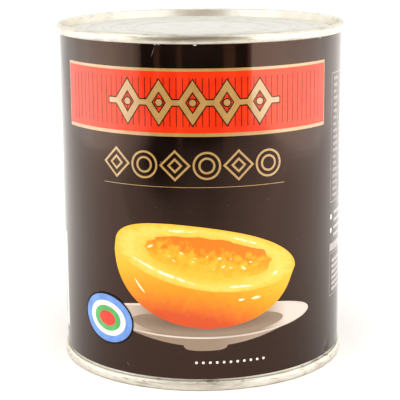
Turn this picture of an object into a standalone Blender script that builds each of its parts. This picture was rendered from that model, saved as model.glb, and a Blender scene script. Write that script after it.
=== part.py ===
"""A shut food can with a paper label, in metres, +Z up.

The can stands on its bottom seam, with its axis on Z and the middle of its base at the origin.
The front of the label faces -Y, and the glued lap of the label is at the back, at +Y.
"""
import math

import bmesh
import bpy
from mathutils import Vector

MM = 0.001

# Driving dimensions of the can
CAN_HEIGHT = 120.9 * MM
BODY_RADIUS = 49.8 * MM

# The double seam that joins each end to the body
SEAM_RADIUS = 51.2 * MM
SEAM_HEIGHT = 3.1 * MM
SEAM_WIDTH = 1.45 * MM
SEAM_SHOULDER = 1.3 * MM
SEAM_CURL = 1.3 * MM
CREST_WIDTH = 0.4 * MM

# The pressed end, measured down from the top of its seam
COUNTERSINK_DEPTH = 4.0 * MM
PANEL_DEPTH = 2.6 * MM
PLATE_THICKNESS = 0.6 * MM
CHUCK_FOOT_RADIUS = 49.05 * MM
PANEL_RADIUS = 46.4 * MM
BEAD_HEIGHT = 0.35 * MM
BEAD_WIDTH = 3.0 * MM
BEAD_RADII = (41.5 * MM, 33.5 * MM, 25.0 * MM)

# The paper label
LABEL_THICKNESS = 0.15 * MM
LABEL_FOOT = 4.35 * MM
LABEL_HEAD_GAP = 0.3 * MM
LAP_WIDTH = 11.0 * MM
LAP_STEP = 0.12 * MM

# Clearance between neighbouring solids, and the fineness of round forms
GAP = 0.3 * MM
SEGMENTS = 72
SHARP_ANGLE = math.radians(50)


def clear_scene():
    """Remove what an earlier run or the start-up file left."""
    for old in list(bpy.data.objects):
        bpy.data.objects.remove(old, do_unlink=True)


def finish_material(name, colour, roughness, metallic):
    """One Principled material."""
    material = bpy.data.materials.new(name)
    material.use_nodes = True
    shader = material.node_tree.nodes["Principled BSDF"]
    shader.inputs["Base Color"].default_value = (*colour, 1.0)
    shader.inputs["Roughness"].default_value = roughness
    shader.inputs["Metallic"].default_value = metallic
    return material


def add_object(name, bm, material):
    """Turn a bmesh into a named object with outward faces and smooth round surfaces."""
    bmesh.ops.recalc_face_normals(bm, faces=bm.faces)
    mesh = bpy.data.meshes.new(name)
    bm.to_mesh(mesh)
    bm.free()
    mesh.materials.append(material)
    mesh.shade_smooth()
    mesh.set_sharp_from_angle(angle=SHARP_ANGLE)
    made = bpy.data.objects.new(name, mesh)
    bpy.context.scene.collection.objects.link(made)
    return made


def arc(centre, radius_x, radius_z, start, end, steps):
    """Points (radius, height) on part of an ellipse, with its angles in degrees."""
    points = []
    for i in range(steps + 1):
        angle = math.radians(start + (end - start) * i / steps)
        points.append((centre[0] + radius_x * math.cos(angle), centre[1] + radius_z * math.sin(angle)))
    return points


def spin_solid(name, profile, material):
    """Spin an open profile of (radius, height) points round Z and close both of its ends with a flat disc."""
    bm = bmesh.new()
    corners = [bm.verts.new((radius, 0.0, height)) for radius, height in profile]
    edges = [bm.edges.new(pair) for pair in zip(corners, corners[1:])]
    bmesh.ops.spin(
        bm,
        geom=corners + edges,
        cent=(0.0, 0.0, 0.0),
        axis=(0.0, 0.0, 1.0),
        angle=math.tau,
        steps=SEGMENTS,
        use_merge=True,
    )
    bmesh.ops.holes_fill(bm, edges=[edge for edge in bm.edges if edge.is_boundary], sides=0)
    return add_object(name, bm, material)


def seam_profile():
    """The double seam: its curl under the body's side, its outer face, its flat crest and the chuck wall's top."""
    curl_reach = 0.75 * MM
    crest_outer = SEAM_RADIUS - 0.72 * MM
    crest_inner = crest_outer - CREST_WIDTH
    chuck_top = SEAM_RADIUS - SEAM_WIDTH
    inner_turn = 0.7 * MM
    seam_foot = CAN_HEIGHT - SEAM_HEIGHT
    curl = arc((SEAM_RADIUS - curl_reach, seam_foot + SEAM_CURL), curl_reach, SEAM_CURL, -90, 0, 4)
    shoulder = arc(
        (crest_outer, CAN_HEIGHT - SEAM_SHOULDER), SEAM_RADIUS - crest_outer, SEAM_SHOULDER, 0, 90, 5
    )
    inside = arc(
        (crest_inner, CAN_HEIGHT - inner_turn), crest_inner - chuck_top, inner_turn, 90, 180, 3
    )
    return curl + shoulder + inside


def panel_profile():
    """The pressed end inside its seam: countersink, raised panel and its round expansion beads."""
    floor = CAN_HEIGHT - COUNTERSINK_DEPTH
    panel = CAN_HEIGHT - PANEL_DEPTH
    groove_turn = 0.5 * MM
    points = arc(
        (CHUCK_FOOT_RADIUS - groove_turn, floor + groove_turn), groove_turn, groove_turn, 0, -90, 2
    )
    points.append((PANEL_RADIUS + 1.3 * MM, floor))
    points.append((PANEL_RADIUS + 0.55 * MM, floor + 0.4 * MM))
    points.append((PANEL_RADIUS + 0.3 * MM, panel - 0.3 * MM))
    points.append((PANEL_RADIUS, panel))
    for radius in BEAD_RADII:
        points.append((radius + BEAD_WIDTH / 2, panel))
        points.append((radius + BEAD_WIDTH / 5, panel + BEAD_HEIGHT))
        points.append((radius - BEAD_WIDTH / 5, panel + BEAD_HEIGHT))
        points.append((radius - BEAD_WIDTH / 2, panel))
    return points


def end_profile():
    """A whole end for the top of the can, with the edge of the body's wall that is folded into its seam."""
    underside = CAN_HEIGHT - COUNTERSINK_DEPTH - PLATE_THICKNESS
    neck = [(BODY_RADIUS, underside), (BODY_RADIUS, CAN_HEIGHT - SEAM_HEIGHT)]
    return neck + seam_profile() + panel_profile()


def make_ends(material):
    """The seamed end at the top, and the same end turned over at the bottom."""
    top = end_profile()
    bottom = [(radius, CAN_HEIGHT - height) for radius, height in top]
    spin_solid("top_end", top, material)
    spin_solid("bottom_end", bottom, material)


def make_body(material):
    """The filled body, a plain drum from one end to the other."""
    foot = COUNTERSINK_DEPTH + PLATE_THICKNESS + GAP
    spin_solid("can_body", [(BODY_RADIUS, foot), (BODY_RADIUS, CAN_HEIGHT - foot)], material)


def label_outline():
    """Corners of the label seen from above as (angle, outer radius), with the lap's step at each side."""
    outer = BODY_RADIUS + GAP + LABEL_THICKNESS
    half_lap = LAP_WIDTH / 2 / outer
    slope = math.radians(0.25)
    back = math.pi / 2
    lap_corners = [
        (back - half_lap - slope, outer),
        (back - half_lap, outer + LAP_STEP),
        (back + half_lap, outer + LAP_STEP),
        (back + half_lap + slope, outer),
    ]
    corners = list(lap_corners)
    for i in range(SEGMENTS):
        angle = math.tau * i / SEGMENTS
        on_lap = abs(angle - back) < half_lap
        corners.append((angle, outer + LAP_STEP if on_lap else outer))
    return sorted(corners)


def make_label(material):
    """The label: a thin paper tube round the body, thicker where its ends lap over at the back."""
    inner = BODY_RADIUS + GAP
    foot = LABEL_FOOT
    height = CAN_HEIGHT - SEAM_HEIGHT - LABEL_HEAD_GAP - foot
    bm = bmesh.new()
    outer_loop = []
    inner_loop = []
    for angle, radius in label_outline():
        outward = Vector((math.cos(angle), math.sin(angle), 0.0))
        up = Vector((0.0, 0.0, foot))
        outer_loop.append(bm.verts.new(outward * radius + up))
        inner_loop.append(bm.verts.new(outward * inner + up))
    count = len(outer_loop)
    for i in range(count):
        j = (i + 1) % count
        bm.faces.new((outer_loop[i], outer_loop[j], inner_loop[j], inner_loop[i]))
    raised = bmesh.ops.extrude_face_region(bm, geom=list(bm.faces), use_keep_orig=True)
    top = [item for item in raised["geom"] if isinstance(item, bmesh.types.BMVert)]
    bmesh.ops.translate(bm, verts=top, vec=(0.0, 0.0, height))
    add_object("label", bm, material)


def main():
    clear_scene()
    tinplate = finish_material("tinplate", (0.74, 0.71, 0.64), 0.28, 1.0)
    paper = finish_material("label_paper", (0.012, 0.008, 0.007), 0.22, 0.0)
    make_body(tinplate)
    make_ends(tinplate)
    make_label(paper)


main()
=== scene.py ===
"""Looks of a shut food can: bright tinplate ends, a dark glossy label with its print, and a pale studio.

Lengths are in metres. The can stands at the origin, and the front of its label faces -Y.
A place on the label is (along, height): the distance round the paper from the front, positive to the right
as the front is seen, and the height above the surface that the can stands on.
"""
import math
import random

import bmesh
import bpy
from bpy.props import FloatProperty, FloatVectorProperty, IntProperty, PointerProperty
from mathutils import Matrix, Vector, geometry, noise


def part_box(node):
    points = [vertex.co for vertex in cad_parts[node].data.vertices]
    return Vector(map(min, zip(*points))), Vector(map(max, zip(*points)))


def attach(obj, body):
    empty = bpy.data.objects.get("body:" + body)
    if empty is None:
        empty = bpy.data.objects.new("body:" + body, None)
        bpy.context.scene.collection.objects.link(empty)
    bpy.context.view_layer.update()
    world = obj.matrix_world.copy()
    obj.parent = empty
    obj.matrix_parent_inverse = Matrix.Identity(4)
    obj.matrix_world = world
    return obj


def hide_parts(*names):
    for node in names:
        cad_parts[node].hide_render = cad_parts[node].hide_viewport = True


bl_info = {
    "name": "Food Can Looks",
    "version": (1, 0, 0),
    "blender": (4, 5, 0),
    "location": "3D View > Sidebar > Food Can",
    "description": "Builds the finish of a shut food can round its packed model",
    "category": "Object",
}

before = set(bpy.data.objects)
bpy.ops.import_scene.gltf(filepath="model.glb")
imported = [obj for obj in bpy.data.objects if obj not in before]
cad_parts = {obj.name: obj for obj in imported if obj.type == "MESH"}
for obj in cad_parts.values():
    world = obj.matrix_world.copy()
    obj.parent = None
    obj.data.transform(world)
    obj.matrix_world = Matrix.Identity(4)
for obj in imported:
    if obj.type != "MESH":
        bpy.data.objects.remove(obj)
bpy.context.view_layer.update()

MM = 0.001
BODY = "root"

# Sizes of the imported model
CAN_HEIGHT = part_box("top_end")[1].z
SEAM_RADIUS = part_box("top_end")[1].x
BODY_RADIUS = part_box("can_body")[1].x
LABEL_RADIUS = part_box("label")[1].x
LABEL_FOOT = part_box("label")[0].z - 0.2 * MM
LABEL_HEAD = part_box("label")[1].z
HALF_TURN = math.pi * LABEL_RADIUS

# Radii of the round expansion beads on both ends
BEAD_RADII = (41.5 * MM, 33.5 * MM, 25.0 * MM)

# Waves in the pressed plate, the same in every run
WAVE_LENGTH = 11 * MM
WAVE_SEED = 3

# How the paper departs from a true cylinder: broad cockling, low ripples across it, and one dent at its foot
COCKLE_ROUND = 34 * MM
COCKLE_UP = 15 * MM
COCKLE_DEPTH = 0.035 * MM
RIPPLE_ROUND = 60 * MM
RIPPLE_UP = 3.2 * MM
RIPPLE_DEPTH = 0.004 * MM
DENT_PLACE = (53.9 * MM, 6.3 * MM)
DENT_SIZE = (0.8 * MM, 1.7 * MM)
DENT_DEPTH = 0.3 * MM

# The label's lower edge isn't cut quite straight, and it sags at the front
EDGE_WAVE = 9 * MM
EDGE_NOISE_ROW = 3.1
EDGE_UNEVENNESS = 0.03 * MM
SAG_REACH = 24 * MM
SAG_DEPTH = 0.17 * MM

# Print lies on the paper in thin layers, one step apart, sliced finely enough to follow its curve
LAYER_STEP = 0.02 * MM
LAYER_THICKNESS = 0.015 * MM
SLICE = 1.2 * MM

# Two places closer than this count as one, and edges sharper than this stay crisp
NEAR = 0.01 * MM
SHARP_ANGLE = math.radians(40)

# The varnish over the print, which reflects with a brown tint where it is looked at squarely
VARNISH_ROUGHNESS = 0.09
VARNISH_SPECULAR = 0.56
VARNISH_TINT = (1.0, 0.62, 0.48, 1.0)

WHITE = (1.0, 1.0, 1.0)
BLACK = (0.0, 0.0, 0.0)


def length(name, description, default):
    """A length that a user may change."""
    return FloatProperty(name=name, description=description, default=default, unit="LENGTH", precision=5)


def colour(name, description, default):
    """A linear colour that a user may change."""
    return FloatVectorProperty(
        name=name, description=description, default=default, subtype="COLOR", size=3, min=0.0, max=1.0
    )


class TinplateSettings(bpy.types.PropertyGroup):
    seam_height: length("Seam Height", "Height of the double seam, which hides the label's edge", 3.33 * MM)
    seam_width: length("Seam Width", "Thickness of the double seam across its crest", 1.45 * MM)
    countersink: length("Countersink", "Depth of the groove inside the seam", 4.0 * MM)
    panel_depth: length("Panel Depth", "Depth of the raised panel below the crest", 2.6 * MM)
    panel_radius: length("Panel Radius", "Radius at which the panel turns down into the groove", 46.4 * MM)
    bead_height: length("Bead Height", "Height of the expansion beads", 0.35 * MM)
    bead_width: length("Bead Width", "Width of one expansion bead", 3.0 * MM)
    segments: IntProperty(name="Segments", description="Steps round each turned piece", default=240, min=24)
    unevenness: length("Unevenness", "Depth of the slight waves in the pressed plate", 0.03 * MM)
    tin: colour("Tin", "Colour of clean tinplate", (0.755, 0.735, 0.65))
    tin_shade: colour("Tin Shade", "Colour of duller patches", (0.705, 0.685, 0.60))
    # Painted shade in a narrow ring at each side of every bead
    painted_bead_shade: colour("Bead Shade", "Colour of the plate beside the beads", (0.42, 0.40, 0.36))
    # The seam's darker colour is partly its own tone and partly painted shade that dims its reflection
    seam_tone_and_shade: colour("Seam Shade", "Colour of the rubbed seam", (0.64, 0.618, 0.53))
    # Also the colour of the painted shade on the crest that the can stands on
    soil_and_shade: colour("Soil", "Colour of smudges and lacquer marks", (0.26, 0.19, 0.11))


class LabelSettings(bpy.types.PropertyGroup):
    thickness: length("Thickness", "Thickness of the paper", 0.15 * MM)
    lap: length("Lap", "Width of the glued lap at the back", 11.0 * MM)
    ink: colour("Ink", "Near-black brown that covers the paper", (0.0020, 0.0012, 0.0010))
    ink_light: colour("Ink Light", "Thinner ink where the paper shows through", (0.0040, 0.0022, 0.0017))
    paper: colour("Bare Paper", "Paper where the print is chipped", (0.78, 0.75, 0.70))


class PanelSettings(bpy.types.PropertyGroup):
    centre: length("Centre", "Middle of the panel, along the label", -2.7 * MM)
    width: length("Width", "Width of the panel with its frame", 104.6 * MM)
    foot: length("Foot", "Height of the panel's lower edge", 87.45 * MM)
    head: length("Head", "Height of the panel's upper edge", 109.75 * MM)
    stripe_step: length("Stripe Step", "Distance from one stripe to the next", 2.14 * MM)
    stripe_width: length("Stripe Width", "Width of one stripe", 0.3 * MM)
    stripes: IntProperty(name="Stripes", description="Number of stripes on the panel", default=46, min=1)
    red: colour("Red", "Colour of the panel", (0.63, 0.031, 0.006))
    red_deep: colour("Red Deep", "Denser red ink", (0.59, 0.024, 0.005))
    stripe: colour("Stripe", "Colour of the fine stripes", (0.10, 0.006, 0.004))
    stripe_light: colour("Stripe Light", "Colour of the stripes where they are thin", (0.18, 0.011, 0.007))
    gold: colour("Gold", "Colour of the gold ink", (0.36, 0.213, 0.056))
    gold_light: colour("Gold Light", "Colour of the gold ink where it is thin", (0.40, 0.242, 0.072))
    outline: colour("Outline", "Dark outline of the ornaments", (0.010, 0.005, 0.003))


class FruitSettings(bpy.types.PropertyGroup):
    centre: length("Centre", "Middle of the fruit, along the label", 1.0 * MM)
    rim: length("Rim", "Height of the middle of the cut face", 46.0 * MM)
    half_width: length("Half Width", "Half the width of the cut face", 33.0 * MM)
    half_face: length("Half Face", "Half the height of the cut face as seen", 11.0 * MM)
    drop: length("Drop", "Depth of the fruit below its rim", 24.0 * MM)
    flesh_low: colour("Flesh Low", "Flesh near the dish", (0.54, 0.066, 0.014))
    flesh_middle: colour("Flesh Middle", "Flesh at mid height", (0.74, 0.246, 0.007))
    flesh_high: colour("Flesh High", "Flesh below the rim", (0.75, 0.385, 0.019))
    cut: colour("Cut Face", "Colour of the cut face", (0.77, 0.445, 0.040))
    cut_light: colour("Cut Face Light", "Pale band of the cut face", (0.79, 0.545, 0.105))
    wet: colour("Wet Light", "Bright wet spots", (0.86, 0.84, 0.62))
    hollow: colour("Hollow", "Colour of the stone's hollow", (0.75, 0.335, 0.012))
    hollow_deep: colour("Hollow Deep", "Shaded side of the hollow", (0.66, 0.17, 0.008))
    dish: colour("Dish", "Colour of the dish", (0.25, 0.19, 0.135))
    dish_light: colour("Dish Light", "Bright rim of the dish", (0.62, 0.55, 0.49))
    dish_dark: colour("Dish Dark", "Shade on the dish", (0.08, 0.048, 0.034))


class StudioSettings(bpy.types.PropertyGroup):
    distance: length("Distance", "Camera's distance in front of the can's axis", 478.04 * MM)
    height: length("Height", "Camera's height above the floor", 163.65 * MM)
    pitch: FloatProperty(
        name="Pitch", description="How far the camera looks down", default=0.2235, subtype="ANGLE"
    )
    yaw: FloatProperty(
        name="Yaw", description="Camera's turn to the right", default=-0.0013, subtype="ANGLE"
    )
    roll: FloatProperty(name="Roll", description="Camera's tilt", default=-0.0081, subtype="ANGLE")
    lens: FloatProperty(name="Lens", description="Focal length in millimetres", default=120.0, unit="CAMERA")
    cloth_height: length("Cloth Height", "Height of the lit cloths at both sides", 0.6)
    backing_height: length("Backing Height", "Height of the dark cloth in front of the can", 0.40)
    top_light: FloatProperty(
        name="Top Light", description="Power of the soft light above the camera", default=11.3, unit="POWER"
    )
    sky: FloatProperty(name="Sky", description="Brightness of the white surroundings", default=1.09, min=0.0)
    floor: colour("Floor", "Colour of the floor", (0.69, 0.663, 0.64))
    # Painted shade of the floor under the camera, seen only in the can's reflections
    mat: colour("Mat", "Colour that the can reflects from the floor under the camera", (0.36, 0.34, 0.325))
    backing: colour("Backing", "Colour of the dark cloth near the floor", (0.038, 0.022, 0.016))
    backing_top: colour("Backing Top", "Colour of the dark cloth higher up", (0.44, 0.37, 0.325))
    backing_core: colour("Backing Core", "Colour of the dark shape in front of the can", (0.22, 0.17, 0.14))
    backing_light: colour("Backing Light", "Colour of the paler strips on that cloth", (0.42, 0.26, 0.19))


def add_node(tree, kind, inputs=None, **settings):
    """Add a node. An input is given by name or number, as a value or as the socket that feeds it."""
    node = tree.nodes.new(kind)
    for key, value in settings.items():
        setattr(node, key, value)
    for key, value in (inputs or {}).items():
        if isinstance(value, bpy.types.NodeSocket):
            tree.links.new(value, node.inputs[key])
        else:
            node.inputs[key].default_value = value
    return node


def maths(tree, operation, *values):
    """The result of one Math node."""
    return add_node(tree, "ShaderNodeMath", dict(enumerate(values)), operation=operation).outputs[0]


def split(tree, vector):
    """The X, Y and Z of a vector."""
    return add_node(tree, "ShaderNodeSeparateXYZ", {"Vector": vector}).outputs


def start_material(name, roughness, metallic=0.0, specular=0.5):
    """A material with a Principled shader whose uniform values are set on its own sockets."""
    material = bpy.data.materials.new(name)
    material.use_nodes = True
    tree = material.node_tree
    shader = tree.nodes["Principled BSDF"]
    shader.inputs["Roughness"].default_value = roughness
    shader.inputs["Metallic"].default_value = metallic
    shader.inputs["Specular IOR Level"].default_value = specular
    where = add_node(tree, "ShaderNodeTexCoord").outputs["Object"]
    return material, tree, shader, where


def cloud(tree, where, size, detail=2.0, squash=(1.0, 1.0, 1.0)):
    """Noise from 0 to 1 whose patches are about size across, drawn out where squash is under 1."""
    fineness = tuple(share / size for share in squash)
    spread = add_node(tree, "ShaderNodeMapping", {"Vector": where, "Scale": fineness})
    fed = {"Vector": spread.outputs["Vector"], "Scale": 1.0, "Detail": detail}
    return add_node(tree, "ShaderNodeTexNoise", fed).outputs["Fac"]


def blend(tree, factor, first, second):
    """A colour between two, by a factor."""
    fed = {"Factor": factor}
    mix = add_node(tree, "ShaderNodeMix", fed, data_type="RGBA")
    for socket, value in (("A", first), ("B", second)):
        target = [item for item in mix.inputs if item.name == socket and item.type == "RGBA"][0]
        if isinstance(value, bpy.types.NodeSocket):
            tree.links.new(value, target)
        else:
            target.default_value = (*value, 1.0)
    return [item for item in mix.outputs if item.type == "RGBA"][0]


def map_range(tree, value, low, high, to_low=0.0, to_high=1.0):
    """A value carried from one range to another and kept inside it."""
    fed = {"Value": value, "From Min": low, "From Max": high, "To Min": to_low, "To Max": to_high}
    return add_node(tree, "ShaderNodeMapRange", fed).outputs["Result"]


def within(tree, value, least, most):
    """A value from 0 to 1 carried to a range."""
    return map_range(tree, value, 0.0, 1.0, least, most)


def ruffled(tree, value, noise_value, amount):
    """A value moved up and down by noise."""
    return maths(tree, "ADD", value, map_range(tree, noise_value, 0.25, 0.75, -amount, amount))


def colour_ramp(tree, value, stops, interpolation="LINEAR"):
    """A colour that runs through (place, colour) stops as a value rises."""
    first = stops[0][0]
    last = stops[-1][0]
    ramp = add_node(tree, "ShaderNodeValToRGB", {"Fac": map_range(tree, value, first, last)})
    ramp.color_ramp.interpolation = interpolation
    elements = ramp.color_ramp.elements
    for place, shade in stops:
        share = (place - first) / (last - first)
        element = elements[0] if share == 0 else elements[-1] if share == 1 else elements.new(share)
        element.color = (*shade, 1.0)
    return ramp.outputs["Color"]


def bumped(tree, height, depth, below=None):
    """The normal of a surface that rises and falls by a depth, laid over another normal if one is given."""
    fed = {"Height": height, "Strength": 1.0, "Distance": depth}
    if below is not None:
        fed["Normal"] = below
    return add_node(tree, "ShaderNodeBump", fed).outputs["Normal"]


def paper_surface(tree, shader, where):
    """Fine ripples across the paper and the grain of its gloss, which all of the print shares."""
    ripple_size = 2.6 * MM
    ripple_depth = 0.006 * MM
    grain_size = 0.8 * MM
    grain_depth = 0.0008 * MM
    ripple = cloud(tree, where, ripple_size, 1.0, squash=(0.05, 0.05, 1.0))
    low = bumped(tree, ripple, ripple_depth)
    fine = bumped(tree, cloud(tree, where, grain_size), grain_depth, low)
    tree.links.new(fine, shader.inputs["Normal"])


def print_material(
    name, dense, thin, patch=4 * MM, roughness=VARNISH_ROUGHNESS, metallic=0.0, specular=VARNISH_SPECULAR
):
    """Ink on glossy paper: two near shades in soft patches under one gloss.

    Metallic ink has its varnish as a coat.
    """
    material, tree, shader, where = start_material(name, roughness, metallic, specular)
    shader.inputs["Specular Tint"].default_value = VARNISH_TINT
    if metallic > 0:
        shader.inputs["Coat Weight"].default_value = 1.0
        shader.inputs["Coat Roughness"].default_value = VARNISH_ROUGHNESS
        shader.inputs["Coat IOR"].default_value = 1.8
    mottle = map_range(tree, cloud(tree, where, patch, detail=3.0), 0.35, 0.65)
    tree.links.new(blend(tree, mottle, dense, thin), shader.inputs["Base Color"])
    paper_surface(tree, shader, where)
    return material


def gold_ink(name, settings):
    """Gold ink, slightly metallic."""
    return print_material(
        name, settings.gold, settings.gold_light, patch=3 * MM, roughness=0.34, metallic=0.12
    )


def shaded_ink(name, stops, centre, half_size, turn=0.0, axis="Radius", bend=0.0, patches=0.0, rays=0.0):
    """Ink that runs through (place, colour) stops, outward from a centre or along one axis of its own frame.

    The frame is centred on the label's front, turned by an angle in degrees and measured in half sizes.
    """
    ray_fineness = (7.0, 7.0, 7.0)
    ray_scale = 1.6
    patch = 2.2 * MM
    material, tree, shader, where = start_material(name, VARNISH_ROUGHNESS, specular=VARNISH_SPECULAR)
    shader.inputs["Specular Tint"].default_value = VARNISH_TINT
    fed = {
        "Vector": where,
        "Location": (centre[0], 0.0, centre[1]),
        "Rotation": (0.0, math.radians(-turn), 0.0),
        "Scale": (half_size[0], 1.0, half_size[1]),
    }
    own = add_node(tree, "ShaderNodeMapping", fed, vector_type="TEXTURE").outputs["Vector"]
    if axis == "Radius":
        value = add_node(tree, "ShaderNodeVectorMath", {0: own}, operation="LENGTH").outputs["Value"]
    else:
        parts = split(tree, own)
        across = maths(tree, "MULTIPLY", parts["X"], parts["X"])
        value = maths(tree, "MULTIPLY_ADD", across, bend, parts[axis])
    if rays > 0:
        outward = add_node(tree, "ShaderNodeVectorMath", {0: own}, operation="NORMALIZE").outputs["Vector"]
        fed = {0: outward, 1: ray_fineness, 2: own}
        fan = add_node(tree, "ShaderNodeVectorMath", fed, operation="MULTIPLY_ADD").outputs["Vector"]
        fed = {"Vector": fan, "Scale": ray_scale, "Detail": 3.0}
        fibre = add_node(tree, "ShaderNodeTexNoise", fed).outputs["Fac"]
        value = ruffled(tree, value, fibre, rays)
    if patches > 0:
        value = ruffled(tree, value, cloud(tree, where, patch, detail=4.0), patches)
    tree.links.new(colour_ramp(tree, value, stops), shader.inputs["Base Color"])
    paper_surface(tree, shader, where)
    return material


def off_axis(tree, where):
    """Distance from the can's axis."""
    fed = {0: where, 1: (1.0, 1.0, 0.0)}
    flat = add_node(tree, "ShaderNodeVectorMath", fed, operation="MULTIPLY").outputs["Vector"]
    return add_node(tree, "ShaderNodeVectorMath", {0: flat}, operation="LENGTH").outputs["Value"]


def painted_bead_rings(tree, reach):
    """A value that rises to 1 in a narrow ring at each side of every bead, where shade is painted on the
    plate.
    """
    ring_offset = 1.2 * MM
    ring_reach = 0.7 * MM
    total = 0.0
    for radius in BEAD_RADII:
        off_bead = maths(tree, "ABSOLUTE", maths(tree, "SUBTRACT", reach, radius))
        off_ring = maths(tree, "ABSOLUTE", maths(tree, "SUBTRACT", off_bead, ring_offset))
        ring = map_range(tree, off_ring, 0.0, ring_reach, 1.0, 0.0)
        total = maths(tree, "ADD", ring, total)
    return total


def tin_material(name, settings, soil_share, roughness=(0.27, 0.35), foot_line=0.0, seam_share=0.0):
    """Tinplate: bright warm metal, duller in patches, with painted shade beside the beads, and darker on the
    rubbed seam, partly its own tone and partly painted shade that dims its reflection.

    Soil lies on it as smudges and as streaks on the seam, and a dark line of painted shade lies on the crest
    that the can stands on.
    """
    patch = 5 * MM
    smudge = 2.7 * MM
    streak = 1.1 * MM
    rub = 0.7 * MM
    seam_start = SEAM_RADIUS - 0.7 * MM
    seam_full = SEAM_RADIUS - 0.35 * MM
    contact_shade_start = 0.55 * MM
    contact_shade_full = 0.05 * MM
    bead_shade_share = 0.3
    streak_share = 0.42
    plate_depth = 0.004 * MM
    seam_depth = 0.012 * MM
    material, tree, shader, where = start_material(name, roughness[0], metallic=1.0)
    dull = map_range(tree, cloud(tree, where, patch, detail=3.0), 0.35, 0.7)
    plain = blend(tree, dull, settings.tin, settings.tin_shade)
    reach = off_axis(tree, where)
    # Painted shade in a ring beside each bead
    rings = within(tree, painted_bead_rings(tree, reach), 0.0, bead_shade_share)
    bead_shaded = blend(tree, rings, plain, settings.painted_bead_shade)
    on_seam = map_range(tree, reach, seam_start, seam_full)
    # The seam darkened: partly its own tone, partly painted shade that dims its reflection
    clean = blend(tree, within(tree, on_seam, 0.0, seam_share), bead_shaded, settings.seam_tone_and_shade)
    smudges = cloud(tree, where, smudge, detail=4.0, squash=(0.5, 0.5, 1.7))
    spots = map_range(tree, smudges, 0.585, 0.69, 0.0, soil_share)
    streaks = map_range(tree, cloud(tree, where, streak, detail=3.0, squash=(0.2, 0.2, 2.2)), 0.48, 0.7)
    lined = maths(tree, "MULTIPLY", streaks, within(tree, on_seam, 0.0, streak_share))
    soiled_and_shaded = blend(tree, spots, blend(tree, lined, clean, settings.soil_and_shade), settings.soil_and_shade)
    # Painted shade: a dark line on the crest where the can meets the floor
    if foot_line > 0:
        low = map_range(tree, split(tree, where)["Z"], contact_shade_full, contact_shade_start, foot_line, 0.0)
        soiled_and_shaded = blend(tree, low, soiled_and_shaded, settings.soil_and_shade)
    tree.links.new(soiled_and_shaded, shader.inputs["Base Color"])
    rough = map_range(tree, cloud(tree, where, patch, detail=3.0), 0.3, 0.7, *roughness)
    tree.links.new(rough, shader.inputs["Roughness"])
    rubs = cloud(tree, where, rub, squash=(1.0, 1.0, 0.12))
    normal = bumped(tree, rubs, within(tree, on_seam, plate_depth, seam_depth))
    tree.links.new(normal, shader.inputs["Normal"])
    return material


def new_tree(name, sockets):
    """A Geometry Nodes tree with geometry in and out and the named inputs."""
    tree = bpy.data.node_groups.new(name, "GeometryNodeTree")
    tree.interface.new_socket("Geometry", in_out="INPUT", socket_type="NodeSocketGeometry")
    tree.interface.new_socket("Geometry", in_out="OUTPUT", socket_type="NodeSocketGeometry")
    for label, kind in sockets.items():
        tree.interface.new_socket(label, in_out="INPUT", socket_type=kind)
    given = tree.nodes.new("NodeGroupInput").outputs
    result = tree.nodes.new("NodeGroupOutput").inputs["Geometry"]
    return tree, given, result


def close_tree(tree, shape, material, result):
    """End a tree in Realize Instances and Set Material."""
    real = add_node(tree, "GeometryNodeRealizeInstances", {"Geometry": shape})
    painted = add_node(
        tree, "GeometryNodeSetMaterial", {"Geometry": real.outputs["Geometry"], "Material": material}
    )
    tree.links.new(painted.outputs["Geometry"], result)


def point_row(tree, given):
    """A row of points from the tree's inputs Count, First and Step."""
    fed = {"Count": given["Count"], "Start Location": given["First"], "Offset": given["Step"]}
    return add_node(tree, "GeometryNodeMeshLine", fed).outputs["Mesh"]


def on_points(tree, points, shape, scale):
    """A shape set on every point."""
    fed = {"Points": points, "Instance": shape, "Scale": scale}
    return add_node(tree, "GeometryNodeInstanceOnPoints", fed).outputs["Instances"]


def random_value(tree, least, most, seed, data_type="FLOAT"):
    """A value drawn at random for every point."""
    fed = {"Min": least, "Max": most, "Seed": seed}
    drawn = add_node(tree, "FunctionNodeRandomValue", fed, data_type=data_type)
    return [socket for socket in drawn.outputs if socket.enabled][0]


def turned_tree():
    """Turns the points of an open profile in the XZ plane into a solid of revolution about Z."""
    tree, given, result = new_tree(
        "Turned Shape", {"Segments": "NodeSocketInt", "Material": "NodeSocketMaterial"}
    )
    count = add_node(tree, "GeometryNodeAttributeDomainSize", {"Geometry": given["Geometry"]})
    columns = maths(tree, "ADD", given["Segments"], 1.0)
    grid = add_node(
        tree,
        "GeometryNodeMeshGrid",
        {
            "Size X": 1.0,
            "Size Y": 1.0,
            "Vertices X": count.outputs["Point Count"],
            "Vertices Y": columns,
        },
    )
    place = add_node(tree, "GeometryNodeInputPosition").outputs["Position"]
    flat = split(tree, place)
    last = maths(tree, "ADD", count.outputs["Point Count"], -1.0)
    share = maths(tree, "ADD", flat["X"], 0.5)
    row = maths(tree, "MULTIPLY", share, last)
    index = add_node(tree, "FunctionNodeFloatToInt", {"Float": row}, rounding_mode="ROUND")
    point = add_node(
        tree,
        "GeometryNodeSampleIndex",
        {"Geometry": given["Geometry"], "Value": place, "Index": index.outputs["Integer"]},
        data_type="FLOAT_VECTOR",
    )
    profile = split(tree, point.outputs["Value"])
    angle = maths(tree, "MULTIPLY", flat["Y"], math.tau)
    across = maths(tree, "MULTIPLY", maths(tree, "COSINE", angle), profile["X"])
    along = maths(tree, "MULTIPLY", maths(tree, "SINE", angle), profile["X"])
    round_place = add_node(tree, "ShaderNodeCombineXYZ", {"X": across, "Y": along, "Z": profile["Z"]})
    moved = add_node(
        tree,
        "GeometryNodeSetPosition",
        {"Geometry": grid.outputs["Mesh"], "Position": round_place.outputs["Vector"]},
    )
    merge_reach = 0.0005 * MM
    fed = {"Geometry": moved.outputs["Geometry"], "Distance": merge_reach}
    closed = add_node(tree, "GeometryNodeMergeByDistance", fed)
    close_tree(tree, closed.outputs["Geometry"], given["Material"], result)
    return tree


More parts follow.
